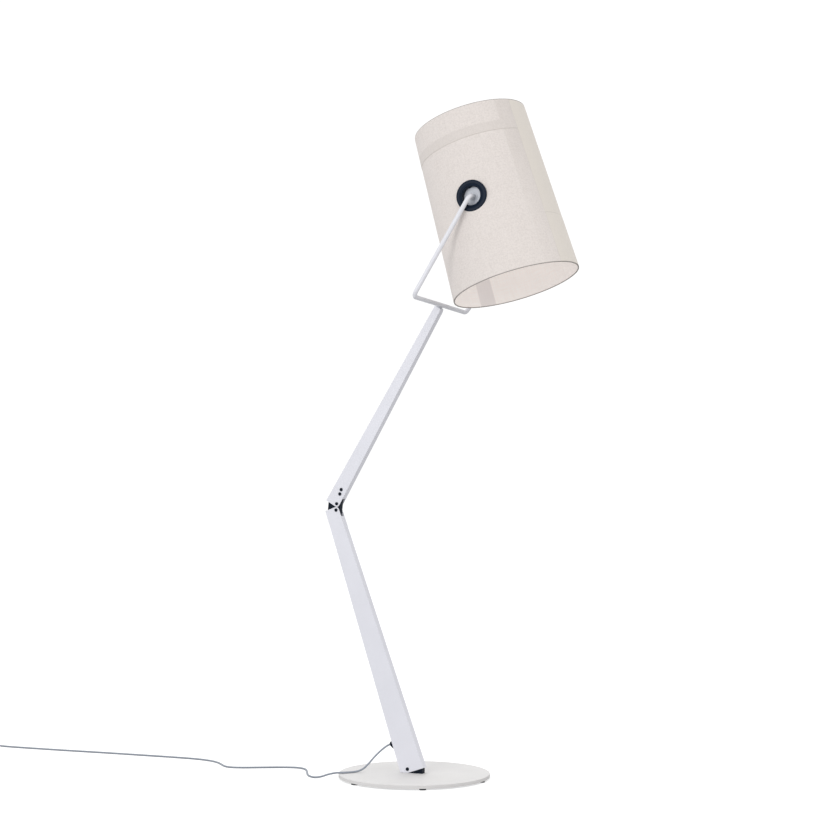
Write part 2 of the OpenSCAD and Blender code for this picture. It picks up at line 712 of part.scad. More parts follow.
module shade_liner() {
    color([0.93, 0.89, 0.88]) at_shade()
        shade_wall(cover_t, shade_skin, -pivot_up + hoop_h, shade_top - hoop_h);
}

module shade_cover() {
    color([0.90, 0.87, 0.85]) at_shade()
        shade_wall(0, cover_t, -pivot_up + hoop_h, shade_top - hoop_h);
}

module hoop(z) {
    r = shade_r(z + hoop_h / 2);
    translate([0, 0, z]) difference() {
        cylinder(r = r, h = hoop_h, $fn = 180);
        translate([0, 0, -over]) cylinder(r = r - shade_skin - 1, h = hoop_h + 2 * over, $fn = 180);
    }
}

module upper_hoop() { color([0.6, 0.6, 0.6]) at_shade() hoop(shade_top - hoop_h); }

module lower_hoop() { color([0.4, 0.4, 0.4]) at_shade() hoop(-pivot_up); }

// ---------- cord ----------

cord_sides = 8;
route_n = len(cord_route);
// A Catmull-Rom curve through the route's points, with one extra ring between each two
function route_at(i) = cord_route[max(0, min(route_n - 1, i))];
function curve(i, t) = 0.5 * (2 * route_at(i) + (route_at(i + 1) - route_at(i - 1)) * t
    + (2 * route_at(i - 1) - 5 * route_at(i) + 4 * route_at(i + 1) - route_at(i + 2)) * t * t
    + (3 * route_at(i) - route_at(i - 1) - 3 * route_at(i + 1) + route_at(i + 2)) * t * t * t);
cord_line = [for (i = [0 : route_n - 2]) for (t = [0, 0.5]) curve(i, t), cord_route[route_n - 1]];
cord_rings = len(cord_line);
function heading(i) = let (
    d = cord_line[min(cord_rings - 1, i + 1)] - cord_line[max(0, i - 1)]
) d / norm(d);
function ring_point(i, k) = let (
    h = heading(i),
    s = cross(h, [0, 0, 1]) / norm(cross(h, [0, 0, 1])),
    u = cross(s, h),
    a = (k + 0.5) * 360 / cord_sides,
    r = cord_d / 2 / cos(180 / cord_sides) * 0.985
) cord_line[i] + r * (cos(a) * s + sin(a) * u);

module cord_tube() {
    points = [for (i = [0 : cord_rings - 1]) for (k = [0 : cord_sides - 1]) ring_point(i, k)];
    skin = [for (i = [0 : cord_rings - 2]) for (k = [0 : cord_sides - 1]) let (
        a = i * cord_sides + k,
        b = i * cord_sides + (k + 1) % cord_sides
    ) [a, b, b + cord_sides, a + cord_sides]];
    first = [[for (k = [cord_sides - 1 : -1 : 0]) k]];
    last = [[for (k = [0 : cord_sides - 1]) (cord_rings - 1) * cord_sides + k]];
    color([0.68, 0.71, 0.77]) polyhedron(points = points, faces = concat(skin, first, last));
}

// A ring with an eight-sided section: each corner of a square is cut by the size given
module bundle(half, cut, turn = 360) {
    flat = half - cut;
    rotate_extrude(angle = turn) translate([coil_r, 0]) polygon([[-half, -flat], [-flat, -half],
        [flat, -half], [half, -flat], [half, flat], [flat, half], [-flat, half], [-half, flat]]);
}

module cord_coil() {
    half = coil_band / 2;
    color([0.68, 0.71, 0.77]) translate([coil_x, coil_y, half]) bundle(half, coil_cut);
}

// The tie round the coil's turns
module cord_tie() {
    half = coil_band / 2;
    wide = 4 * coil_r;
    color([0.13, 0.15, 0.19]) translate([coil_x, coil_y, half]) rotate([0, 0, tie_turn])
        difference() {
            intersection() {
                bundle(half + tie_t, coil_cut, tie_span);
                translate([0, 0, tie_t]) cube([wide, wide, 2 * (half + tie_t)], center = true);
            }
            rotate([0, 0, -over]) bundle(half + run_fit, coil_cut, tie_span + 2 * over);
        }
}

module oval(l, w) {
    square([l - w, w], center = true);
    for (s = [-1, 1]) translate([s * (l - w) / 2, 0]) circle(d = w);
}

// The cord runs through both end walls
module switch_bore() {
    translate([0, 0, switch_cord_z]) rotate([0, 90, 0])
        cylinder(d = cord_d + 0.8, h = switch_len + 2 * over, center = true);
}

module switch_base() {
    color([0.13, 0.15, 0.19]) translate([switch_x, switch_y, 0]) difference() {
        linear_extrude(height = switch_base_h) oval(switch_len, switch_w);
        translate([0, 0, switch_wall]) linear_extrude(height = switch_base_h)
            oval(switch_len - 2 * switch_wall, switch_w - 2 * switch_wall);
        switch_bore();
    }
}

module switch_cover() {
    color([0.13, 0.15, 0.19]) translate([switch_x, switch_y, 0]) difference() {
        translate([0, 0, switch_base_h + run_fit]) linear_extrude(height = switch_h - switch_base_h)
            oval(switch_len, switch_w);
        translate([0, 0, switch_base_h - over])
            linear_extrude(height = switch_h - switch_base_h - switch_wall + over)
            oval(switch_len - 2 * switch_wall, switch_w - 2 * switch_wall);
        cylinder(d = button_d + 2 * part_gap, h = switch_h + over);
        switch_bore();
    }
}

module switch_button() {
    low = switch_cord_z + cord_d / 2 + button_travel + 0.4;
    color([0.2, 0.22, 0.27]) translate([switch_x, switch_y, 0]) {
        translate([0, 0, low]) cylinder(d = button_d, h = switch_h + button_travel + 0.6 - low);
        translate([0, 0, low])
            cylinder(d = button_d + 4, h = switch_h - switch_wall - part_gap - low);
    }
}

// ---------- plug ----------

plug_x = coil_x + 14;   // the plug's back
plug_y = coil_y + coil_r + coil_band / 2 + plug_w / 2 + 2;

module plug_body() {
    side = plug_w / 2;
    color([0.14, 0.16, 0.2]) translate([plug_x, plug_y, 0]) {
        translate([-plug_neck, 0, plug_t / 2]) rotate([0, 90, 0]) difference() {
            cylinder(d = plug_neck_d, h = plug_neck + over);
            translate([0, 0, -over]) cylinder(d = cord_d + 2 * seat_fit, h = plug_neck + over);
        }
        linear_extrude(height = plug_t) polygon([[0, -plug_neck_d / 2 - 1], [12, -side],
            [plug_len - 4, -side], [plug_len, -side + 4], [plug_len, side - 4],
            [plug_len - 4, side], [12, side], [0, plug_neck_d / 2 + 1]]);
    }
}

module plug_pins() {
    color([0.75, 0.75, 0.77]) for (s = [-1, 1])
        translate([plug_x + plug_len, plug_y + s * plug_pin_gap / 2, plug_t / 2]) rotate([0, 90, 0])
            cylinder(d = plug_pin_d, h = plug_pin_len);
}

base_plate();
base_feet();
base_core();
base_core_screws();
base_washers();
base_pin();
lower_arm();
cord_gland();
lower_lead();
elbow_pin_lower();
elbow_link();
elbow_washers();
elbow_pin_upper();
upper_arm();
upper_insert();
insert_screws();
upper_lead();
swivel_bush();
swivel_washer();
swivel_stem();
swivel_circlip();
fork_rod();
fork_lead();
tip_pins();
tip_washers();
tip_locknuts();
hub_cups();
eyelets();
crossbar();
holder_nipple();
holder_cap();
holder_body();
holder_ring();
screw_shell();
centre_contact();
shade_liner();
shade_cover();
upper_hoop();
lower_hoop();
cord_tube();
cord_coil();
cord_tie();
switch_base();
switch_cover();
switch_button();
plug_body();
plug_pins();
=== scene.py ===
# %% [markdown]
# # An adjustable arm floor lamp
# The lamp has a round steel base, two flat hollow arms with black friction elbows, a bent tube
# fork and a tapered fabric shade that tilts in it. The frame that is loaded first is the exact
# CAD model, and it gives every size and place. This lesson adds what the CAD has not: cloth,
# soft edges, a round cord, and finishes made from shader nodes.

import json
import math

import bmesh
import bpy
import numpy as np
from mathutils import Matrix, Vector


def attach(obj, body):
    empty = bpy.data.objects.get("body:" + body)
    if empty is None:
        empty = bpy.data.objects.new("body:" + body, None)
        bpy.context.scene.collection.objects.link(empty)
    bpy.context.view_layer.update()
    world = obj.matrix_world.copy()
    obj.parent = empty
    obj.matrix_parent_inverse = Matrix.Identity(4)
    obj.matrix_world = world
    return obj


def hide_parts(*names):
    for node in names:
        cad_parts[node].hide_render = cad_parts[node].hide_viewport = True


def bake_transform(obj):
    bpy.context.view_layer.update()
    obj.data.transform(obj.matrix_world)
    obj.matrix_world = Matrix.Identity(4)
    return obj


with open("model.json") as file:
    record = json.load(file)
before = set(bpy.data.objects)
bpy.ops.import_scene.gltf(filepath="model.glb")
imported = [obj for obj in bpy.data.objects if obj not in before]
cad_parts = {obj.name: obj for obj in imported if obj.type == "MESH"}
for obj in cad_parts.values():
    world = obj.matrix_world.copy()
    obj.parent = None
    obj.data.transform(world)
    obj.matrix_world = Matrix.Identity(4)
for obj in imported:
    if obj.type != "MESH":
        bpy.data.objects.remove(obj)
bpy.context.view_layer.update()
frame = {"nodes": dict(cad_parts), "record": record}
nodes = frame["nodes"]
joints = {j["name"]: j for j in frame["record"]["behaviour"]["joints"]}
mounts = {m["name"]: m for m in frame["record"]["mounts"]}
MM = 0.001

# %% [markdown]
# ## The camera
# A long lens a little over four metres away, 0.7 m above the floor and turned slightly upward,
# so the base plate is seen as a thin ellipse while the shade's lower opening shows.

# %% Place the camera
CAMERA_PLACE = (1.689, -3.8688, 0.6992)
CAMERA_TURN = 23.558
CAMERA_LIFT = 3.525
CAMERA_FIELD = 29.468

lens = bpy.data.cameras.new("camera")
lens.sensor_fit = "HORIZONTAL"
lens.angle = math.radians(CAMERA_FIELD)
lens.clip_end = 200
camera = bpy.data.objects.new("camera", lens)
camera.location = CAMERA_PLACE
camera.rotation_euler = (math.radians(90 + CAMERA_LIFT), 0, math.radians(CAMERA_TURN))
bpy.context.scene.collection.objects.link(camera)
bpy.context.scene.camera = camera
print("camera field", CAMERA_FIELD)

# %% [markdown]
# ## Small helpers
# Most pieces are made from lists of points and faces. One helper turns such lists into an
# object, and one sweeps a circle along a path.

# %% Helpers that make a piece


def make_piece(name, points, faces, place=None, sharp_angle=35):
    mesh = bpy.data.meshes.new(name)
    mesh.from_pydata([tuple(p) for p in points], [], faces)
    mesh.validate()
    mesh.shade_smooth()
    mesh.set_sharp_from_angle(angle=math.radians(sharp_angle))
    piece = bpy.data.objects.new(name, mesh)
    if place is not None:
        piece.matrix_world = place
    bpy.context.scene.collection.objects.link(piece)
    return piece


def smooth_path(points, spacing):
    """A Catmull-Rom curve through the points, in steps of about the spacing."""
    p = np.array([points[0], *points, points[-1]], float)
    out = []
    for a, b, c, d in zip(p[:-3], p[1:-2], p[2:-1], p[3:], strict=True):
        steps = max(2, round(np.linalg.norm(c - b) / spacing))
        for t in np.arange(steps) / steps:
            out.append(0.5 * (2 * b + (c - a) * t + (2 * a - 5 * b + 4 * c - d) * t**2
                              + (3 * b - a - 3 * c + d) * t**3))
    out.append(p[-2])
    return np.array(out)


def sweep(path, radius, sides):
    """Points and faces of a round tube along the path, with flat ends. The radius may vary."""
    path = np.array(path, float)
    radius = np.broadcast_to(radius, len(path))
    heading = np.gradient(path, axis=0)
    heading /= np.linalg.norm(heading, axis=1)[:, None]
    side = np.cross(heading[0], (0, 0, 1) if abs(heading[0][2]) < 0.9 else (1, 0, 0))
    points = []
    for centre, h, r in zip(path, heading, radius, strict=True):
        side = side - h * (side @ h)
        side /= np.linalg.norm(side)
        up = np.cross(side, h)
        for k in range(sides):
            a = 2 * math.pi * k / sides
            points.append(centre + r * (math.cos(a) * side + math.sin(a) * up))
    rings = len(path)
    faces = [(i * sides + k, i * sides + (k + 1) % sides,
              (i + 1) * sides + (k + 1) % sides, (i + 1) * sides + k)
             for i in range(rings - 1) for k in range(sides)]
    faces.append(tuple(range(sides - 1, -1, -1)))
    faces.append(tuple((rings - 1) * sides + k for k in range(sides)))
    return points, faces


def lathe(profile, steps):
    """Points and faces of a closed profile of (radius, height) turned about Z."""
    count = len(profile)
    points = [(r * math.cos(2 * math.pi * i / steps), r * math.sin(2 * math.pi * i / steps), z)
              for i in range(steps) for r, z in profile]
    faces = [(i * count + k, ((i + 1) % steps) * count + k,
              ((i + 1) % steps) * count + (k + 1) % count, i * count + (k + 1) % count)
             for i in range(steps) for k in range(count)]
    return points, faces


# %% [markdown]
# ## The mains cord
# A thin round cord leaves the black gland low on the arm, drops on to the plate, runs over its
# rim and along the floor in slow bends. The rest of it is put away: it goes through a foot
# switch, into a small coil of three layers, and ends in a two-pin plug. The route is a list of
# points in millimetres, the coil is a loop, and one sweep makes the whole cord.

# %% The cord's route
CORD_D = 5 * MM
CORD_ROUTE = [
    (-68, 0, 83), (-80, -2, 77), (-94, -8, 65), (-107, -18, 50), (-118, -30, 34),
    (-127, -42, 22), (-137, -55, 16), (-150, -72, 14.6), (-165, -88, 14.8), (-181, -102, 15),
    (-198, -112, 11.5), (-216, -118, 5.5), (-236, -118, 2.6), (-256, -106, 2.5), (-272, -86, 2.5),
    (-286, -62, 2.5), (-302, -34, 2.5), (-320, -10, 2.5), (-342, 2, 2.5), (-368, 1, 2.5),
    (-400, -11, 2.5), (-440, -31, 2.5), (-480, -52, 2.5), (-510, -62, 2.5), (-534, -60, 2.5),
    (-554, -46, 2.5), (-574, -26, 2.5), (-598, -5, 2.5), (-630, 12, 2.5), (-680, 24, 2.5),
    (-750, 26, 2.5), (-850, 23, 2.5), (-980, 18, 2.5), (-1120, 10, 2.5), (-1250, 5, 2.5),
    (-1340, 3, 3), (-1376, 2, 6.6), (-1412, 2, 7), (-1448, 2, 6.6), (-1470, -1, 3.6),
    (-1488, -2.6, 2.5),
]
COIL_CENTRE = (-1502, 31)
COIL_TURNS = 6.31
TURN_RADII = [33.7, 28.5, 23.3, 23.3, 28.5, 33.7, 31]
TURN_HEIGHTS = [2.5, 2.5, 2.5, 7.6, 7.6, 7.6, 12.7]
TAIL = [(-1528, 57, 12.3), (-1518, 73, 10.4), (-1506, 83, 8.2), (-1494, 86.5, 7), (-1486, 86.5, 7)]


def eased(low, high, value):
    t = min(max((value - low) / (high - low), 0), 1)
    return t * t * (3 - 2 * t)


def coil_point(turns):
    """A turn moves in or out at its start, and climbs to the next layer near its end."""
    k = min(int(turns), len(TURN_RADII) - 1)
    part = turns - k
    before = TURN_RADII[max(k - 1, 0)]
    after = TURN_HEIGHTS[min(k + 1, len(TURN_HEIGHTS) - 1)]
    r = before + (TURN_RADII[k] - before) * eased(0, 0.2, part)
    z = TURN_HEIGHTS[k] + (after - TURN_HEIGHTS[k]) * eased(0.75, 0.95, part)
    a = -math.pi / 2 - 2 * math.pi * turns
    return (COIL_CENTRE[0] + r * math.cos(a), COIL_CENTRE[1] + r * math.sin(a), z)


coil_line = [coil_point(t) for t in np.arange(0, COIL_TURNS, 1 / 45)]
cord_path = smooth_path(CORD_ROUTE + coil_line[::3] + TAIL, 3.5) * MM
cord = make_piece("mains_cord", *sweep(cord_path, CORD_D / 2, 14), sharp_angle=60)

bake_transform(cord)
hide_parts("cord_tube", "cord_coil")

# %% [markdown]
# The coil of spare cord is held by a tie, and short tapered sleeves guard the cord where it
# enters and leaves the switch.

# %% The tie and the sleeves
TIE_TURN = math.radians(205)


def tie_path():
    """A band round the coil's bundle, in the upright plane that holds the tie's direction."""
    out = Vector((math.cos(TIE_TURN), math.sin(TIE_TURN), 0))
    centre = Vector((*COIL_CENTRE, 7.8)) + 28.5 * out
    half_w, half_h, corner = 8.4, 7.5, 2.6
    path = []
    for quarter, (sx, sz) in enumerate([(1, 1), (-1, 1), (-1, -1), (1, -1)]):
        for step in range(5):
            a = math.radians(90 * quarter + 22.5 * step)
            x = sx * (half_w - corner) + corner * math.cos(a)
            z = sz * (half_h - corner) + corner * math.sin(a)
            path.append(centre + x * out + Vector((0, 0, z)))
    return [p * MM for p in path]


def strap(name, path, width, thick, along):
    """A flat closed band: each point of the path becomes four corners."""
    points = []
    count = len(path)
    for i, p in enumerate(path):
        ahead = (path[(i + 1) % count] - path[i - 1]).normalized()
        out = ahead.cross(along).normalized()
        points += [p - along * width / 2, p + along * width / 2,
                   p + along * width / 2 + out * thick, p - along * width / 2 + out * thick]
    faces = [(4 * i + k, 4 * i + (k + 1) % 4, 4 * ((i + 1) % count) + (k + 1) % 4,
              4 * ((i + 1) % count) + k) for i in range(count) for k in range(4)]
    return make_piece(name, points, faces)


tie_side = Vector((-math.sin(TIE_TURN), math.cos(TIE_TURN), 0))
tie = strap("coil_strap", tie_path(), 5 * MM, 0.7 * MM, tie_side)
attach(tie, "base")
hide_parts("cord_tie")


def cord_sleeve(name, start, end):
    """A ribbed taper, thick at its start, round the cord."""
    start, end = Vector(start) * MM, Vector(end) * MM
    steps = 25
    path = [start.lerp(end, i / (steps - 1)) for i in range(steps)]
    ribs = [(4.4 - 1.5 * i / (steps - 1) - (0.5 if i % 4 == 2 else 0)) * MM for i in range(steps)]
    sleeve = make_piece(name, *sweep(path, ribs, 20), sharp_angle=50)
    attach(sleeve, "base")
    return sleeve


sleeves = [
    cord_sleeve("switch_sleeve_in", (-1376.5, 2, 6.7), (-1354, 2.6, 4.6)),
    cord_sleeve("switch_sleeve_out", (-1447.5, 2, 6.7), (-1466, -0.4, 4.3)),
]

# %% [markdown]
# ## The shade
# Cream cloth is stretched over a stiff white lining. It is sewn from panels: a hem crosses the
# top, an upright seam runs down the right, and a short seam crosses the narrow right panel.
# A plain cone would look like plastic, so the cloth is a fine grid whose rows and columns fall
# on the seams, and each overlap stands about half a millimetre proud. The grid is drawn flat
# on the shade's own axis, in millimetres, and the object's placing tilts it.

# %% Sizes of the shade
pivot = Vector(joints["shade_tilt"]["pos_m"])
shade_up = -Vector(mounts["lampholder"]["axis"])
shade_right = Vector((shade_up.z, 0, -shade_up.x))
shade_place = Matrix((
    (shade_right.x, 0, shade_up.x, pivot.x),
    (0, 1, 0, pivot.y),
    (shade_right.z, 0, shade_up.z, pivot.z),
    (0, 0, 0, 1),
))
SHADE_LOW, SHADE_HIGH = -222, 238
RADIUS_LOW, RADIUS_HIGH = 170, 152
HOOP = 1.6
EYELET_R = 41
HEM_Z = 154
HEM_BAND = 25
SEAM_TURN = -25
LAP_TURN = -43
SHORT_SEAM_Z = -84
RIGHT_PANEL_END = 105
CLOTH_THICK = 0.9
LINING_THICK = 0.6
LINING_DROP = 1.2
HOLE_GAP = 0.06
print("shade pivot", tuple(round(v, 4) for v in pivot))


def shade_radius(z):
    return RADIUS_LOW + (RADIUS_HIGH - RADIUS_LOW) * (z - SHADE_LOW) / (SHADE_HIGH - SHADE_LOW)


# %% The cloth's relief


def cloth_relief(turn, z):
    """How far the cloth stands off the plain cone, in mm, at a turn in degrees and a height."""
    a = math.radians(turn)
    sway = 0.22 * math.sin(3 * a + 0.6) + 0.14 * math.sin(7 * a + z / 60) + 0.1 * math.sin(11 * a - z / 35)
    off = 0.25 + sway * 0.6
    on_right = SEAM_TURN < turn < RIGHT_PANEL_END
    if z > HEM_Z and not on_right:
        off += 0.5
    if z < HEM_Z and LAP_TURN < turn <= SEAM_TURN:
        off += 0.12
    if on_right:
        off -= 0.35
        if z < SHORT_SEAM_Z:
            off += 0.45
    return off


def grid_lines(low, high, step, extra):
    """Even lines, plus a close pair at each seam so that its step is crisp."""
    lines = list(np.linspace(low, high, round((high - low) / step) + 1))
    for seam in extra:
        lines = [v for v in lines if abs(v - seam) > step * 0.35]
        lines += [seam - 0.04 * step, seam + 0.04 * step]
    return sorted(lines)


def shade_wall(name, relief, drop, thick, turns, heights, hole):
    """A tapered wall with a round hole on each side, made as one sheet and then thickened inward."""
    mesh = bmesh.new()
    rows = []
    for z in heights:
        row = []
        for turn in turns:
            r = shade_radius(z) - drop + relief(turn, z)
            a = math.radians(turn)
            x, y = r * math.cos(a), r * math.sin(a)
            away = math.hypot(x, z)
            inside = away < hole
            if inside and away > 1e-6:
                x, zz = x * hole / away, z * hole / away
                r_there = shade_radius(zz) - drop + relief(turn, zz)
                y = math.copysign(math.sqrt(r_there**2 - x**2), y)
            else:
                zz = z
            row.append((mesh.verts.new((x * MM, y * MM, zz * MM)), inside))
        rows.append(row)
    count = len(turns)
    for low, high in zip(rows[:-1], rows[1:], strict=True):
        for k in range(count):
            n = (k + 1) % count
            corners = [low[k], low[n], high[n], high[k]]
            if not all(inside for _, inside in corners):
                mesh.faces.new([v for v, _ in corners])
    bmesh.ops.delete(mesh, geom=[v for v in mesh.verts if not v.link_faces], context="VERTS")
    bmesh.ops.remove_doubles(mesh, verts=mesh.verts, dist=0.02 * MM)
    bmesh.ops.recalc_face_normals(mesh, faces=mesh.faces)
    bmesh.ops.solidify(mesh, geom=mesh.faces, thickness=thick * MM)
    bmesh.ops.recalc_face_normals(mesh, faces=mesh.faces)
    data = bpy.data.meshes.new(name)
    mesh.to_mesh(data)
    mesh.free()
    data.shade_smooth()
    data.set_sharp_from_angle(angle=math.radians(50))
    piece = bpy.data.objects.new(name, data)
    piece.matrix_world = shade_place
    bpy.context.scene.collection.objects.link(piece)
    return piece


# %% Cut and sew the cloth
cloth_turns = grid_lines(-180, 180, 1.5, [SEAM_TURN, LAP_TURN, RIGHT_PANEL_END])
cloth_turns = [t for t in cloth_turns if t < 179.9]
cloth_rows = grid_lines(SHADE_LOW + HOOP, SHADE_HIGH - HOOP, 3.6, [HEM_Z, SHORT_SEAM_Z])
cover = shade_wall("shade_cloth", cloth_relief, 0, CLOTH_THICK, cloth_turns, cloth_rows,
                   EYELET_R + HOLE_GAP)
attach(cover, "shade")
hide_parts("shade_cover")

# %% The lining


def lining_relief(turn, z):
    return -0.15


lining_turns = list(np.arange(-180, 180, 2.0))
lining_rows = grid_lines(SHADE_LOW + HOOP, SHADE_HIGH - HOOP, 6, [])
lining = shade_wall("shade_lining", lining_relief, LINING_DROP, LINING_THICK, lining_turns,
                    lining_rows, EYELET_R + HOLE_GAP)
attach(lining, "shade")
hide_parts("shade_liner")
print("lining faces", len(lining.data.polygons))

# %% [markdown]
# ## The eyelets
# A navy plastic ring lines each hole in the cloth. It has a flat flange, a round bead at its
# mouth and a deep bore, and a small tab that holds the hub inside. The ring is turned on a
# lathe from one profile, with its round corners made of short arcs.

# %% Turn the eyelets
EYELET_BORE = 25
EYELET_FACE = shade_radius(0) + 2.7
HUB_FACE = 148


def arc(centre, radius, start, end, steps):
    return [(centre[0] + radius * math.cos(math.radians(start + (end - start) * i / steps)),
             centre[1] + radius * math.sin(math.radians(start + (end - start) * i / steps)))
            for i in range(steps + 1)]


eyelet_profile = (
    [(EYELET_BORE, HUB_FACE + 0.2), (EYELET_BORE + 3.9, HUB_FACE + 0.2), (EYELET_BORE + 3.9, 151.5)]
    + [(EYELET_BORE + 6, 153.2), (EYELET_R, 153.2)]
    + arc((EYELET_R - 2.4, EYELET_FACE - 2.4), 2.4, 0, 80, 6)
    + [(EYELET_R - 6, EYELET_FACE + 0.05), (EYELET_BORE + 6.2, EYELET_FACE - 0.35)]
    + [(EYELET_BORE + 5, EYELET_FACE - 0.9), (EYELET_BORE + 4.4, EYELET_FACE - 0.5)]
    + arc((EYELET_BORE + 2.2, EYELET_FACE - 1.3), 2.2, 50, 180, 9)
    + [(EYELET_BORE + 0.15, EYELET_FACE - 5), (EYELET_BORE + 0.5, EYELET_FACE - 5.4)]
    + [(EYELET_BORE + 0.5, EYELET_FACE - 6.4), (EYELET_BORE, EYELET_FACE - 6.8)]
)


def side_place(side):
    """Turns a lathe's Z to point out of the shade, towards -Y or +Y."""
    return shade_place @ Matrix.Rotation(math.radians(90 if side < 0 else -90), 4, "X")


def scaled(points):
    return [(x * MM, y * MM, z * MM) for x, y, z in points]


def turned(name, profile, side, steps=96, sharp=30):
    points, faces = lathe(profile, steps)
    return make_piece(name, scaled(points), faces, side_place(side), sharp)


eyelets = []
for side, label in ((-1, "near"), (1, "far")):
    ring = turned("eyelet_" + label, eyelet_profile, side)
    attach(ring, "shade")
    eyelets.append(ring)
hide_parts("eyelets")
print("eyelet face at", EYELET_FACE)

# %% [markdown]
# The hub behind each eyelet is a shallow pale dish with a raised rim and a boss round the
# fork's pin. A dark tab at the top of the eyelet reaches over it.

# %% Turn the hubs
hub_profile = (
    [(4.1, HUB_FACE - 3), (32, HUB_FACE - 3), (32, HUB_FACE + 6.8), (29.05, HUB_FACE + 6.8)]
    + [(29.05, HUB_FACE), (24.6, HUB_FACE + 0.1), (24.2, HUB_FACE + 0.9), (23.2, HUB_FACE + 1.0)]
    + [(22.6, HUB_FACE + 0.5), (21.8, HUB_FACE - 0.4), (11.4, HUB_FACE - 0.9), (10.6, HUB_FACE)]
    + [(4.1, HUB_FACE)]
)
hubs = []
for side, label in ((-1, "near"), (1, "far")):
    hub = turned("hub_" + label, hub_profile, side)
    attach(hub, "shade")
    hubs.append(hub)
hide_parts("hub_cups")


def eyelet_tab(name, side):
    """A short curved catch that spans 18 degrees at the top of the bore."""
    points, faces = [], []
    steps = 8
    for i in range(steps + 1):
        a = math.radians(84 + 18 * i / steps)
        reach = EYELET_BORE - (2.4 if 1 < i < steps - 1 else 1.5)
        for r, z in ((EYELET_BORE + 0.6, 150.2), (reach, 150.6), (reach, 152.4), (EYELET_BORE + 0.6, 153.6)):
            points.append((r * math.cos(a) * MM, r * math.sin(a) * MM * -side, z * MM))
    for i in range(steps):
        faces += [(4 * i + k, 4 * i + (k + 1) % 4, 4 * i + 4 + (k + 1) % 4, 4 * i + 4 + k) for k in range(4)]
    faces += [(3, 2, 1, 0), tuple(4 * steps + k for k in range(4))]
    tab = make_piece(name, points, faces, side_place(side))
    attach(tab, "shade")
    return tab


tabs = [eyelet_tab("eyelet_tab_near", -1), eyelet_tab("eyelet_tab_far", 1)]
print("hubs and tabs", len(hubs) + len(tabs))

# %% [markdown]
# ## Soft edges on the CAD pieces
# Cut steel, painted tube and moulded plastic never end in a razor edge. The CAD pieces keep
# their meshes, and modifiers round them: Weld joins the facets, Bevel rounds what is sharp, and
# Weighted Normal keeps the flat faces flat.

# %% Round the edges


def soften(node, width, segments=3):
    piece = nodes[node]
    weld = piece.modifiers.new("join", "WELD")
    weld.merge_threshold = 0.00001
    bevel = piece.modifiers.new("round", "BEVEL")
    bevel.width = width * MM
    bevel.segments = segments
    bevel.limit_method = "ANGLE"
    bevel.angle_limit = math.radians(40)
    bevel.use_clamp_overlap = True
    normals = piece.modifiers.new("flats", "WEIGHTED_NORMAL")
    normals.keep_sharp = False
    return piece


EDGE_WIDTHS = {
    "base_core": 0.8, "elbow_link": 0.8,
    "cord_gland": 1.2, "base_pin": 0.3, "elbow_pin_lower": 0.3, "elbow_pin_upper": 0.3,
    "insert_screws": 0.3, "switch_base": 0.8, "switch_cover": 1.6, "switch_button": 0.6,
    "plug_body": 2.0, "plug_pins": 0.8, "base_feet": 0.5, "holder_cap": 0.6, "holder_body": 0.4,
    "holder_ring": 0.5, "swivel_washer": 0.3,
}
for node, width in EDGE_WIDTHS.items():
    soften(node, width)
print("softened", len(EDGE_WIDTHS))

# %% [markdown]
# ## Shader groups
# Three effects are shared by many finishes, so each is a node group with named sockets: a fine
# grain for paint and plastic, thin dust on what faces up, and a woven cloth drawn in the
# shade's own turn and height.

# %% Tools for node trees


def socket(tree, name, kind, is_input, default=None):
    item = tree.interface.new_socket(name=name, in_out="INPUT" if is_input else "OUTPUT", socket_type=kind)
    if default is not None:
        item.default_value = default
    return item


def join(tree, source, target):
    """Links a socket to an input, or sets the input's value."""
    if isinstance(source, bpy.types.NodeSocket):
        tree.links.new(source, target)
    elif source is not None:
        target.default_value = source


def calc(tree, operation, a, b=None, c=None, clamp=False):
    node = tree.nodes.new("ShaderNodeMath")
    node.operation = operation
    node.use_clamp = clamp
    for value, target in zip((a, b, c), node.inputs, strict=True):
        join(tree, value, target)
    return node.outputs[0]


def noise(tree, vector, scale, detail=3.0, roughness=0.5):
    node = tree.nodes.new("ShaderNodeTexNoise")
    join(tree, vector, node.inputs["Vector"])
    node.inputs["Scale"].default_value = scale
    node.inputs["Detail"].default_value = detail
    node.inputs["Roughness"].default_value = roughness
    return node.outputs["Fac"]


def remap(tree, value, low, high, to_low, to_high):
    node = tree.nodes.new("ShaderNodeMapRange")
    node.interpolation_type = "SMOOTHSTEP"
    join(tree, value, node.inputs["Value"])
    for name, number in (("From Min", low), ("From Max", high), ("To Min", to_low), ("To Max", to_high)):
        node.inputs[name].default_value = number
    return node.outputs["Result"]


def tint(tree, amount, first, second):
    """Mixes two colours, each a socket or a tuple."""
    node = tree.nodes.new("ShaderNodeMix")
    node.data_type = "RGBA"
    join(tree, amount, node.inputs["Factor"])
    join(tree, first, node.inputs["A"])
    join(tree, second, node.inputs["B"])
    return node.outputs["Result"]


def bump(tree, height, distance, strength=1.0):
    node = tree.nodes.new("ShaderNodeBump")
    node.inputs["Strength"].default_value = strength
    node.inputs["Distance"].default_value = distance
    join(tree, height, node.inputs["Height"])
    return node.outputs["Normal"]


def place_group(tree, group, **values):
    node = tree.nodes.new("ShaderNodeGroup")
    node.node_tree = group
    for name, value in values.items():
        join(tree, value, node.inputs[name.replace("_", " ")])
    return node


# %% The grain group


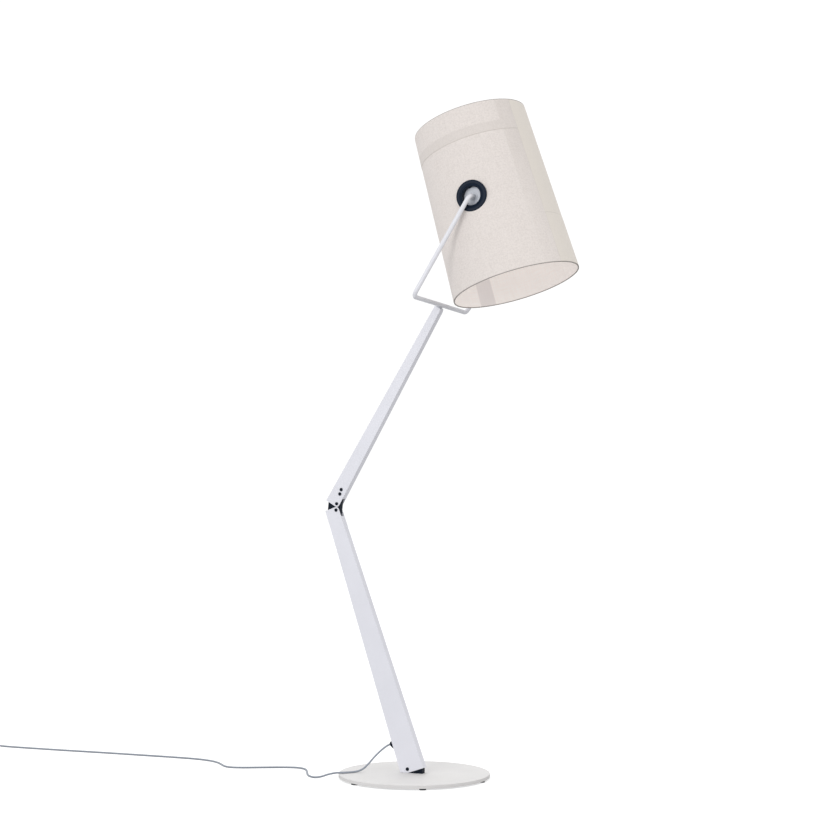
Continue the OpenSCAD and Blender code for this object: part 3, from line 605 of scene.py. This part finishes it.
def make_grain():
    """Fine bumps of powder coat or moulded plastic, with a slow drift for colour."""
    tree = bpy.data.node_groups.new("fine grain", "ShaderNodeTree")
    socket(tree, "Grain Size", "NodeSocketFloat", True, 1.0)
    socket(tree, "Height", "NodeSocketFloat", False)
    socket(tree, "Drift", "NodeSocketFloat", False)
    gin = tree.nodes.new("NodeGroupInput")
    gout = tree.nodes.new("NodeGroupOutput")
    place = tree.nodes.new("ShaderNodeTexCoord").outputs["Object"]
    sized = tree.nodes.new("ShaderNodeVectorMath")
    sized.operation = "SCALE"
    tree.links.new(place, sized.inputs[0])
    tree.links.new(calc(tree, "DIVIDE", 1000.0, gin.outputs["Grain Size"]), sized.inputs["Scale"])
    fine = noise(tree, sized.outputs[0], 1.0, 2.0)
    coarse = noise(tree, sized.outputs[0], 0.31, 3.0)
    height = calc(tree, "ADD", calc(tree, "MULTIPLY", fine, 0.6), calc(tree, "MULTIPLY", coarse, 0.4))
    tree.links.new(height, gout.inputs["Height"])
    tree.links.new(remap(tree, noise(tree, place, 9.0, 4.0), 0.3, 0.7, 0.0, 1.0), gout.inputs["Drift"])
    return tree


grain = make_grain()
print("group", grain.name)

# %% The dust group


def make_dust():
    """A mask of thin dust: it lies on what faces up, in soft patches."""
    tree = bpy.data.node_groups.new("settled dust", "ShaderNodeTree")
    socket(tree, "Amount", "NodeSocketFloat", True, 0.3)
    socket(tree, "Mask", "NodeSocketFloat", False)
    gin = tree.nodes.new("NodeGroupInput")
    gout = tree.nodes.new("NodeGroupOutput")
    facing = tree.nodes.new("ShaderNodeSeparateXYZ")
    tree.links.new(tree.nodes.new("ShaderNodeNewGeometry").outputs["Normal"], facing.inputs[0])
    up = remap(tree, facing.outputs["Z"], 0.5, 0.98, 0.0, 1.0)
    place = tree.nodes.new("ShaderNodeTexCoord").outputs["Object"]
    patches = remap(tree, noise(tree, place, 14.0, 6.0, 0.65), 0.35, 0.7, 0.2, 1.0)
    mask = calc(tree, "MULTIPLY", calc(tree, "MULTIPLY", up, patches), gin.outputs["Amount"], clamp=True)
    tree.links.new(mask, gout.inputs["Mask"])
    return tree


dust = make_dust()
print("group", dust.name)

# %% The woven cloth group


def make_shade_place():
    """Turn in degrees and height in mm on the shade, from the object's own coordinates."""
    tree = bpy.data.node_groups.new("place on the shade", "ShaderNodeTree")
    socket(tree, "Turn", "NodeSocketFloat", False)
    socket(tree, "Height", "NodeSocketFloat", False)
    gout = tree.nodes.new("NodeGroupOutput")
    xyz = tree.nodes.new("ShaderNodeSeparateXYZ")
    tree.links.new(tree.nodes.new("ShaderNodeTexCoord").outputs["Object"], xyz.inputs[0])
    turn = calc(tree, "ARCTAN2", xyz.outputs["Y"], xyz.outputs["X"])
    tree.links.new(calc(tree, "DEGREES", turn), gout.inputs["Turn"])
    tree.links.new(calc(tree, "MULTIPLY", xyz.outputs["Z"], 1000.0), gout.inputs["Height"])
    return tree


def make_weave():
    """A plain weave of uneven yarn: Height for bump, Slub for the thick pale threads."""
    tree = bpy.data.node_groups.new("plain weave", "ShaderNodeTree")
    socket(tree, "Turn", "NodeSocketFloat", True)
    socket(tree, "Height", "NodeSocketFloat", True)
    socket(tree, "Pitch", "NodeSocketFloat", True, 0.9)
    socket(tree, "Relief", "NodeSocketFloat", False)
    socket(tree, "Slub", "NodeSocketFloat", False)
    gin = tree.nodes.new("NodeGroupInput")
    gout = tree.nodes.new("NodeGroupOutput")
    around = calc(tree, "MULTIPLY", gin.outputs["Turn"], 2.81)
    rate = calc(tree, "DIVIDE", math.pi, gin.outputs["Pitch"])
    across = tree.nodes.new("ShaderNodeCombineXYZ")
    tree.links.new(calc(tree, "MULTIPLY", around, 0.9), across.inputs["X"])
    tree.links.new(calc(tree, "MULTIPLY", gin.outputs["Height"], 0.045), across.inputs["Y"])
    along = tree.nodes.new("ShaderNodeCombineXYZ")
    tree.links.new(calc(tree, "MULTIPLY", around, 0.045), along.inputs["X"])
    tree.links.new(calc(tree, "MULTIPLY", gin.outputs["Height"], 0.9), along.inputs["Y"])
    warp_slub = noise(tree, across.outputs[0], 0.5, 2.0)
    weft_slub = noise(tree, along.outputs[0], 0.5, 2.0)
    warp = calc(tree, "SINE", calc(tree, "MULTIPLY", around, rate))
    weft = calc(tree, "SINE", calc(tree, "MULTIPLY", gin.outputs["Height"], rate))
    cells = calc(tree, "MULTIPLY", warp, weft)
    threads = calc(tree, "ADD", calc(tree, "ABSOLUTE", warp), calc(tree, "ABSOLUTE", weft))
    relief = calc(tree, "ADD", calc(tree, "MULTIPLY", cells, 0.3), calc(tree, "MULTIPLY", threads, 0.25))
    uneven = calc(tree, "ADD", warp_slub, weft_slub)
    tree.links.new(calc(tree, "ADD", relief, calc(tree, "MULTIPLY", uneven, 0.5)), gout.inputs["Relief"])
    tree.links.new(remap(tree, uneven, 0.75, 1.25, 0.0, 1.0), gout.inputs["Slub"])
    return tree


on_shade = make_shade_place()
weave = make_weave()
print("groups", on_shade.name, weave.name)

# %% [markdown]
# ## Finishes
# Each finish is a Principled shader with the groups above, set to the scale of the real thing.
# Colours are given as screen values and turned into light values by one helper.

# %% A finish from its parts


def light_value(hex_colour):
    parts = [int(hex_colour[i:i + 2], 16) / 255 for i in (1, 3, 5)]
    return (*[v / 12.92 if v <= 0.04045 else ((v + 0.055) / 1.055) ** 2.4 for v in parts], 1.0)


def new_finish(name, roughness, metallic=0.0):
    material = bpy.data.materials.new(name)
    material.use_nodes = True
    shader = material.node_tree.nodes["Principled BSDF"]
    shader.inputs["Roughness"].default_value = roughness
    shader.inputs["Metallic"].default_value = metallic
    return material, material.node_tree, shader


def plain_finish(name, colour, shade, roughness, size, depth, dusty=0.0, metallic=0.0, gloss=0.5):
    """Paint or plastic: a fine grain in the surface, a slow drift of colour, and a little dust."""
    material, tree, shader = new_finish(name, roughness, metallic)
    surface = place_group(tree, grain, Grain_Size=size)
    colour = tint(tree, surface.outputs["Drift"], light_value(colour), light_value(shade))
    if dusty:
        settled = place_group(tree, dust, Amount=dusty)
        colour = tint(tree, settled.outputs["Mask"], colour, light_value("#d9d5cf"))
    join(tree, colour, shader.inputs["Base Color"])
    rough = remap(tree, surface.outputs["Height"], 0.3, 0.7, roughness - 0.05, roughness + 0.06)
    join(tree, rough, shader.inputs["Roughness"])
    join(tree, bump(tree, surface.outputs["Height"], depth * MM), shader.inputs["Normal"])
    shader.inputs["Specular IOR Level"].default_value = gloss
    return material


# %% Painted steel, plastic and metal
finishes = {
    "painted_arm": plain_finish("arm powder coat", "#dadae1", "#d7d7de", 0.42, 0.9, 0.015),
    "painted_rod": plain_finish("fork powder coat", "#dddde2", "#dadae0", 0.38, 0.8, 0.012),
    "painted_steel_base": plain_finish("base powder coat", "#d6d4d3", "#d2d0cf", 0.5, 1.1, 0.07, 0.15),
    "black_steel": plain_finish("black pins", "#050d1a", "#0a1422", 0.45, 0.5, 0.03, gloss=0.12),
    "black_plastic": plain_finish("black moulding", "#07101c", "#0c1826", 0.5, 0.6, 0.06, gloss=0.12),
    "dark_plastic": plain_finish("switch and plug moulding", "#1b1e25", "#22262e", 0.48, 0.7, 0.07),
    "button_plastic": plain_finish("switch button", "#30343d", "#373c46", 0.35, 0.6, 0.03),
    "pale_plastic": plain_finish("hub moulding", "#cdd0d8", "#c8cbd3", 0.4, 0.9, 0.03),
    "white_plastic": plain_finish("lampholder moulding", "#ecebe8", "#e4e3df", 0.3, 0.9, 0.03),
    "eyelet_plastic": plain_finish("eyelet moulding", "#071628", "#0b1c31", 0.4, 0.8, 0.03, gloss=0.14),
    "foot_rubber": plain_finish("foot rubber", "#202328", "#2a2d32", 0.75, 0.5, 0.08),
    "grey_washer": plain_finish("friction washers", "#4b4c50", "#55565a", 0.6, 0.4, 0.03),
    "lead_sheath": plain_finish("inner lead", "#b0b4bc", "#a6aab3", 0.5, 0.5, 0.03),
    "cord_sheath": plain_finish("cord sheath", "#8c929c", "#838994", 0.45, 0.6, 0.04),
    "zinc_steel": plain_finish("zinc plate", "#a3a6aa", "#8f9296", 0.38, 0.5, 0.03, metallic=1.0),
    "spring_steel": plain_finish("spring steel", "#7d7f84", "#6d6f74", 0.35, 0.5, 0.02, metallic=1.0),
    "brass_thread": plain_finish("brass tube", "#b89a5a", "#a3864a", 0.36, 0.5, 0.02, metallic=1.0),
    "brass_shell": plain_finish("brass shell", "#c9a75e", "#b6944e", 0.3, 0.6, 0.02, metallic=1.0),
    "plug_brass": plain_finish("nickel pins", "#c8c8ca", "#b8b8bb", 0.22, 0.6, 0.01, metallic=1.0),
    "hoop_steel": plain_finish("hoop", "#a09a96", "#8e8883", 0.5, 0.5, 0.03),
}
print("plain finishes", len(finishes))

# %% [markdown]
# The cloth is a cream linen weave. Where it is double, at the hem, at the lap beside the
# upright seam and along the short seam, less light passes and it looks a little darker. The
# narrow right panel was cut from a warmer piece.

# %% Cream cloth


def cloth_finish():
    material, tree, shader = new_finish("cream linen", 0.92)
    place = place_group(tree, on_shade)
    turn, height = place.outputs["Turn"], place.outputs["Height"]
    yarn = place_group(tree, weave, Turn=turn, Height=height, Pitch=0.9)
    material_place = tree.nodes.new("ShaderNodeTexCoord").outputs["Object"]
    mottle = remap(tree, noise(tree, material_place, 240.0, 3.0, 0.75), 0.36, 0.64, 0.0, 1.0)
    colour = tint(tree, mottle, light_value("#d3cbc6"), light_value("#dfd7d2"))
    pale = calc(tree, "MULTIPLY", yarn.outputs["Slub"], 0.45)
    colour = tint(tree, pale, colour, light_value("#e1dad6"))
    right = calc(tree, "MULTIPLY", remap(tree, turn, SEAM_TURN - 0.15, SEAM_TURN + 0.15, 0.0, 1.0),
                 remap(tree, turn, RIGHT_PANEL_END - 0.5, RIGHT_PANEL_END + 0.5, 1.0, 0.0))
    colour = tint(tree, calc(tree, "MULTIPLY", right, 0.7), colour, light_value("#dbd4ca"))
    left = calc(tree, "SUBTRACT", 1.0, right)
    hem = calc(tree, "MULTIPLY", remap(tree, height, HEM_Z - 0.3, HEM_Z + 0.3, 0.0, 1.0),
               remap(tree, height, HEM_Z + HEM_BAND - 2, HEM_Z + HEM_BAND + 2, 1.0, 0.0))
    hem = calc(tree, "MULTIPLY", hem, left)
    lap = calc(tree, "MULTIPLY", remap(tree, turn, LAP_TURN - 1, LAP_TURN + 1, 0.0, 1.0), left)
    lap = calc(tree, "MULTIPLY", lap, remap(tree, turn, SEAM_TURN, SEAM_TURN + 1, 1.0, 0.0))
    lap = calc(tree, "MULTIPLY", lap, remap(tree, height, -160.0, 200.0, 0.15, 1.0))
    double = calc(tree, "MAXIMUM", hem, lap)
    colour = tint(tree, calc(tree, "MULTIPLY", double, 0.3), colour, light_value("#c3bbb5"))
    line = calc(tree, "ABSOLUTE", calc(tree, "SUBTRACT", height, HEM_Z - 0.5))
    line = calc(tree, "MULTIPLY", remap(tree, line, 0.3, 1.1, 1.0, 0.0), left)
    short = calc(tree, "ABSOLUTE", calc(tree, "SUBTRACT", height, SHORT_SEAM_Z + 0.5))
    reach = remap(tree, turn, LAP_TURN - 2, SEAM_TURN, 0.0, 0.45)
    across = calc(tree, "MAXIMUM", reach, right)
    short = calc(tree, "MULTIPLY", remap(tree, short, 0.3, 1.2, 1.0, 0.0), across)
    upright = calc(tree, "ABSOLUTE", calc(tree, "SUBTRACT", turn, SEAM_TURN))
    upright = remap(tree, upright, 0.1, 0.4, 0.6, 0.0)
    seams = calc(tree, "MAXIMUM", calc(tree, "MAXIMUM", line, short), upright)
    colour = tint(tree, calc(tree, "MULTIPLY", seams, 0.5), colour, light_value("#b5aea6"))
    join(tree, colour, shader.inputs["Base Color"])
    join(tree, bump(tree, yarn.outputs["Relief"], 0.25 * MM, 0.6), shader.inputs["Normal"])
    shader.inputs["Sheen Weight"].default_value = 0.15
    shader.inputs["Sheen Roughness"].default_value = 0.6
    return material


finishes["shade_fabric"] = cloth_finish()

# %% White lining with a painted glow


def lining_finish_with_painted_glow():
    material, tree, shader = new_finish("white lining with painted glow", 0.7)
    place = place_group(tree, on_shade)
    turn = place.outputs["Turn"]
    yarn = place_group(tree, weave, Turn=turn, Height=place.outputs["Height"], Pitch=0.7)
    band = calc(tree, "MULTIPLY", remap(tree, turn, 129.5, 131.0, 0.0, 1.0),
                remap(tree, turn, 145.5, 147.0, 1.0, 0.0))
    colour = tint(tree, yarn.outputs["Slub"], light_value("#e9e4e0"), light_value("#efe9e6"))
    colour = tint(tree, calc(tree, "MULTIPLY", band, 0.75), colour, light_value("#d4cecd"))
    join(tree, colour, shader.inputs["Base Color"])
    join(tree, bump(tree, yarn.outputs["Relief"], 0.1 * MM, 0.4), shader.inputs["Normal"])
    # The emission is a painted glow: it stands in for room light that comes through the cloth, though the
    # lining is no lamp.
    join(tree, colour, shader.inputs["Emission Color"])
    shader.inputs["Emission Strength"].default_value = 0.2
    return material


finishes["liner_film"] = lining_finish_with_painted_glow()
print("all finishes", len(finishes))

# %% Give every piece its finish
slots = {s["node"]: s["material_slot"] for s in frame["record"]["subparts"]}
for name, piece in nodes.items():
    piece.data.materials.clear()
    piece.data.materials.append(finishes[slots[name]])
own_pieces = {
    "cord_sheath": [cord], "dark_plastic": [tie, *sleeves], "shade_fabric": [cover],
    "liner_film": [lining], "eyelet_plastic": [*eyelets, *tabs], "pale_plastic": hubs,
}
for slot_name, pieces in own_pieces.items():
    for piece in pieces:
        piece.data.materials.clear()
        piece.data.materials.append(finishes[slot_name])
print("pieces with finishes", len(nodes) + sum(len(p) for p in own_pieces.values()))

# %% [markdown]
# ## Floor and light
# The lamp stands on a plain white floor that runs into a white background. The light is soft
# and comes from above and from the front left, so the arms' faces are bright, their narrow
# right edges are a little darker, and the floor lights the shade's underside, whose lining has a painted
# glow.

# %% The floor


def floor_finish():
    material, tree, shader = new_finish("white floor", 0.9)
    spots = noise(tree, tree.nodes.new("ShaderNodeTexCoord").outputs["Object"], 3.0, 2.0)
    join(tree, tint(tree, spots, (0.5, 0.5, 0.5, 1), (0.53, 0.53, 0.53, 1)), shader.inputs["Base Color"])
    glow = calc(tree, "MULTIPLY", tree.nodes.new("ShaderNodeLightPath").outputs["Is Camera Ray"], 0.62)
    shader.inputs["Emission Color"].default_value = (1, 1, 1, 1)
    join(tree, glow, shader.inputs["Emission Strength"])
    return material


FLOOR_HALF = 60
floor = make_piece("floor", [(-FLOOR_HALF, -FLOOR_HALF, 0), (FLOOR_HALF, -FLOOR_HALF, 0),
                             (FLOOR_HALF, FLOOR_HALF, 0), (-FLOOR_HALF, FLOOR_HALF, 0)], [(0, 1, 2, 3)])
floor.data.materials.append(floor_finish())

# %% The lights


def softbox(name, place, target, size, power, colour=(1, 1, 1)):
    light = bpy.data.lights.new(name, "AREA")
    light.shape = "SQUARE"
    light.size = size
    light.energy = power
    light.color = colour
    box = bpy.data.objects.new(name, light)
    box.location = place
    box.rotation_euler = (Vector(target) - Vector(place)).to_track_quat("-Z", "Y").to_euler()
    bpy.context.scene.collection.objects.link(box)
    return box


softbox("front box", (-0.9, -4.4, 1.8), (0.1, 0, 0.85), 2.2, 60)
softbox("right box", (3.4, -0.8, 2.6), (0.1, 0, 0.9), 1.8, 17, (1, 0.97, 0.92))

sun = bpy.data.lights.new("ceiling", "SUN")
sun.energy = 0.55
sun.angle = math.radians(35)
ceiling = bpy.data.objects.new("ceiling", sun)
ceiling.rotation_euler = Vector((-0.45, 0.4, 1)).to_track_quat("Z", "Y").to_euler()
bpy.context.scene.collection.objects.link(ceiling)

world = bpy.data.worlds.new("studio")
bpy.context.scene.world = world
world.use_nodes = True
sky = world.node_tree
back = sky.nodes["Background"]
back.inputs["Color"].default_value = (0.98, 0.99, 1.0, 1)
back.inputs["Strength"].default_value = 0.93
seen = sky.nodes.new("ShaderNodeBackground")
seen.inputs["Color"].default_value = (1, 1, 1, 1)
seen.inputs["Strength"].default_value = 1.05
either = sky.nodes.new("ShaderNodeMixShader")
sky.links.new(sky.nodes.new("ShaderNodeLightPath").outputs["Is Camera Ray"], either.inputs[0])
sky.links.new(back.outputs[0], either.inputs[1])
sky.links.new(seen.outputs[0], either.inputs[2])
sky.links.new(either.outputs[0], sky.nodes["World Output"].inputs["Surface"])
bpy.context.scene.view_settings.view_transform = "Standard"
print("lights and floor are in place")
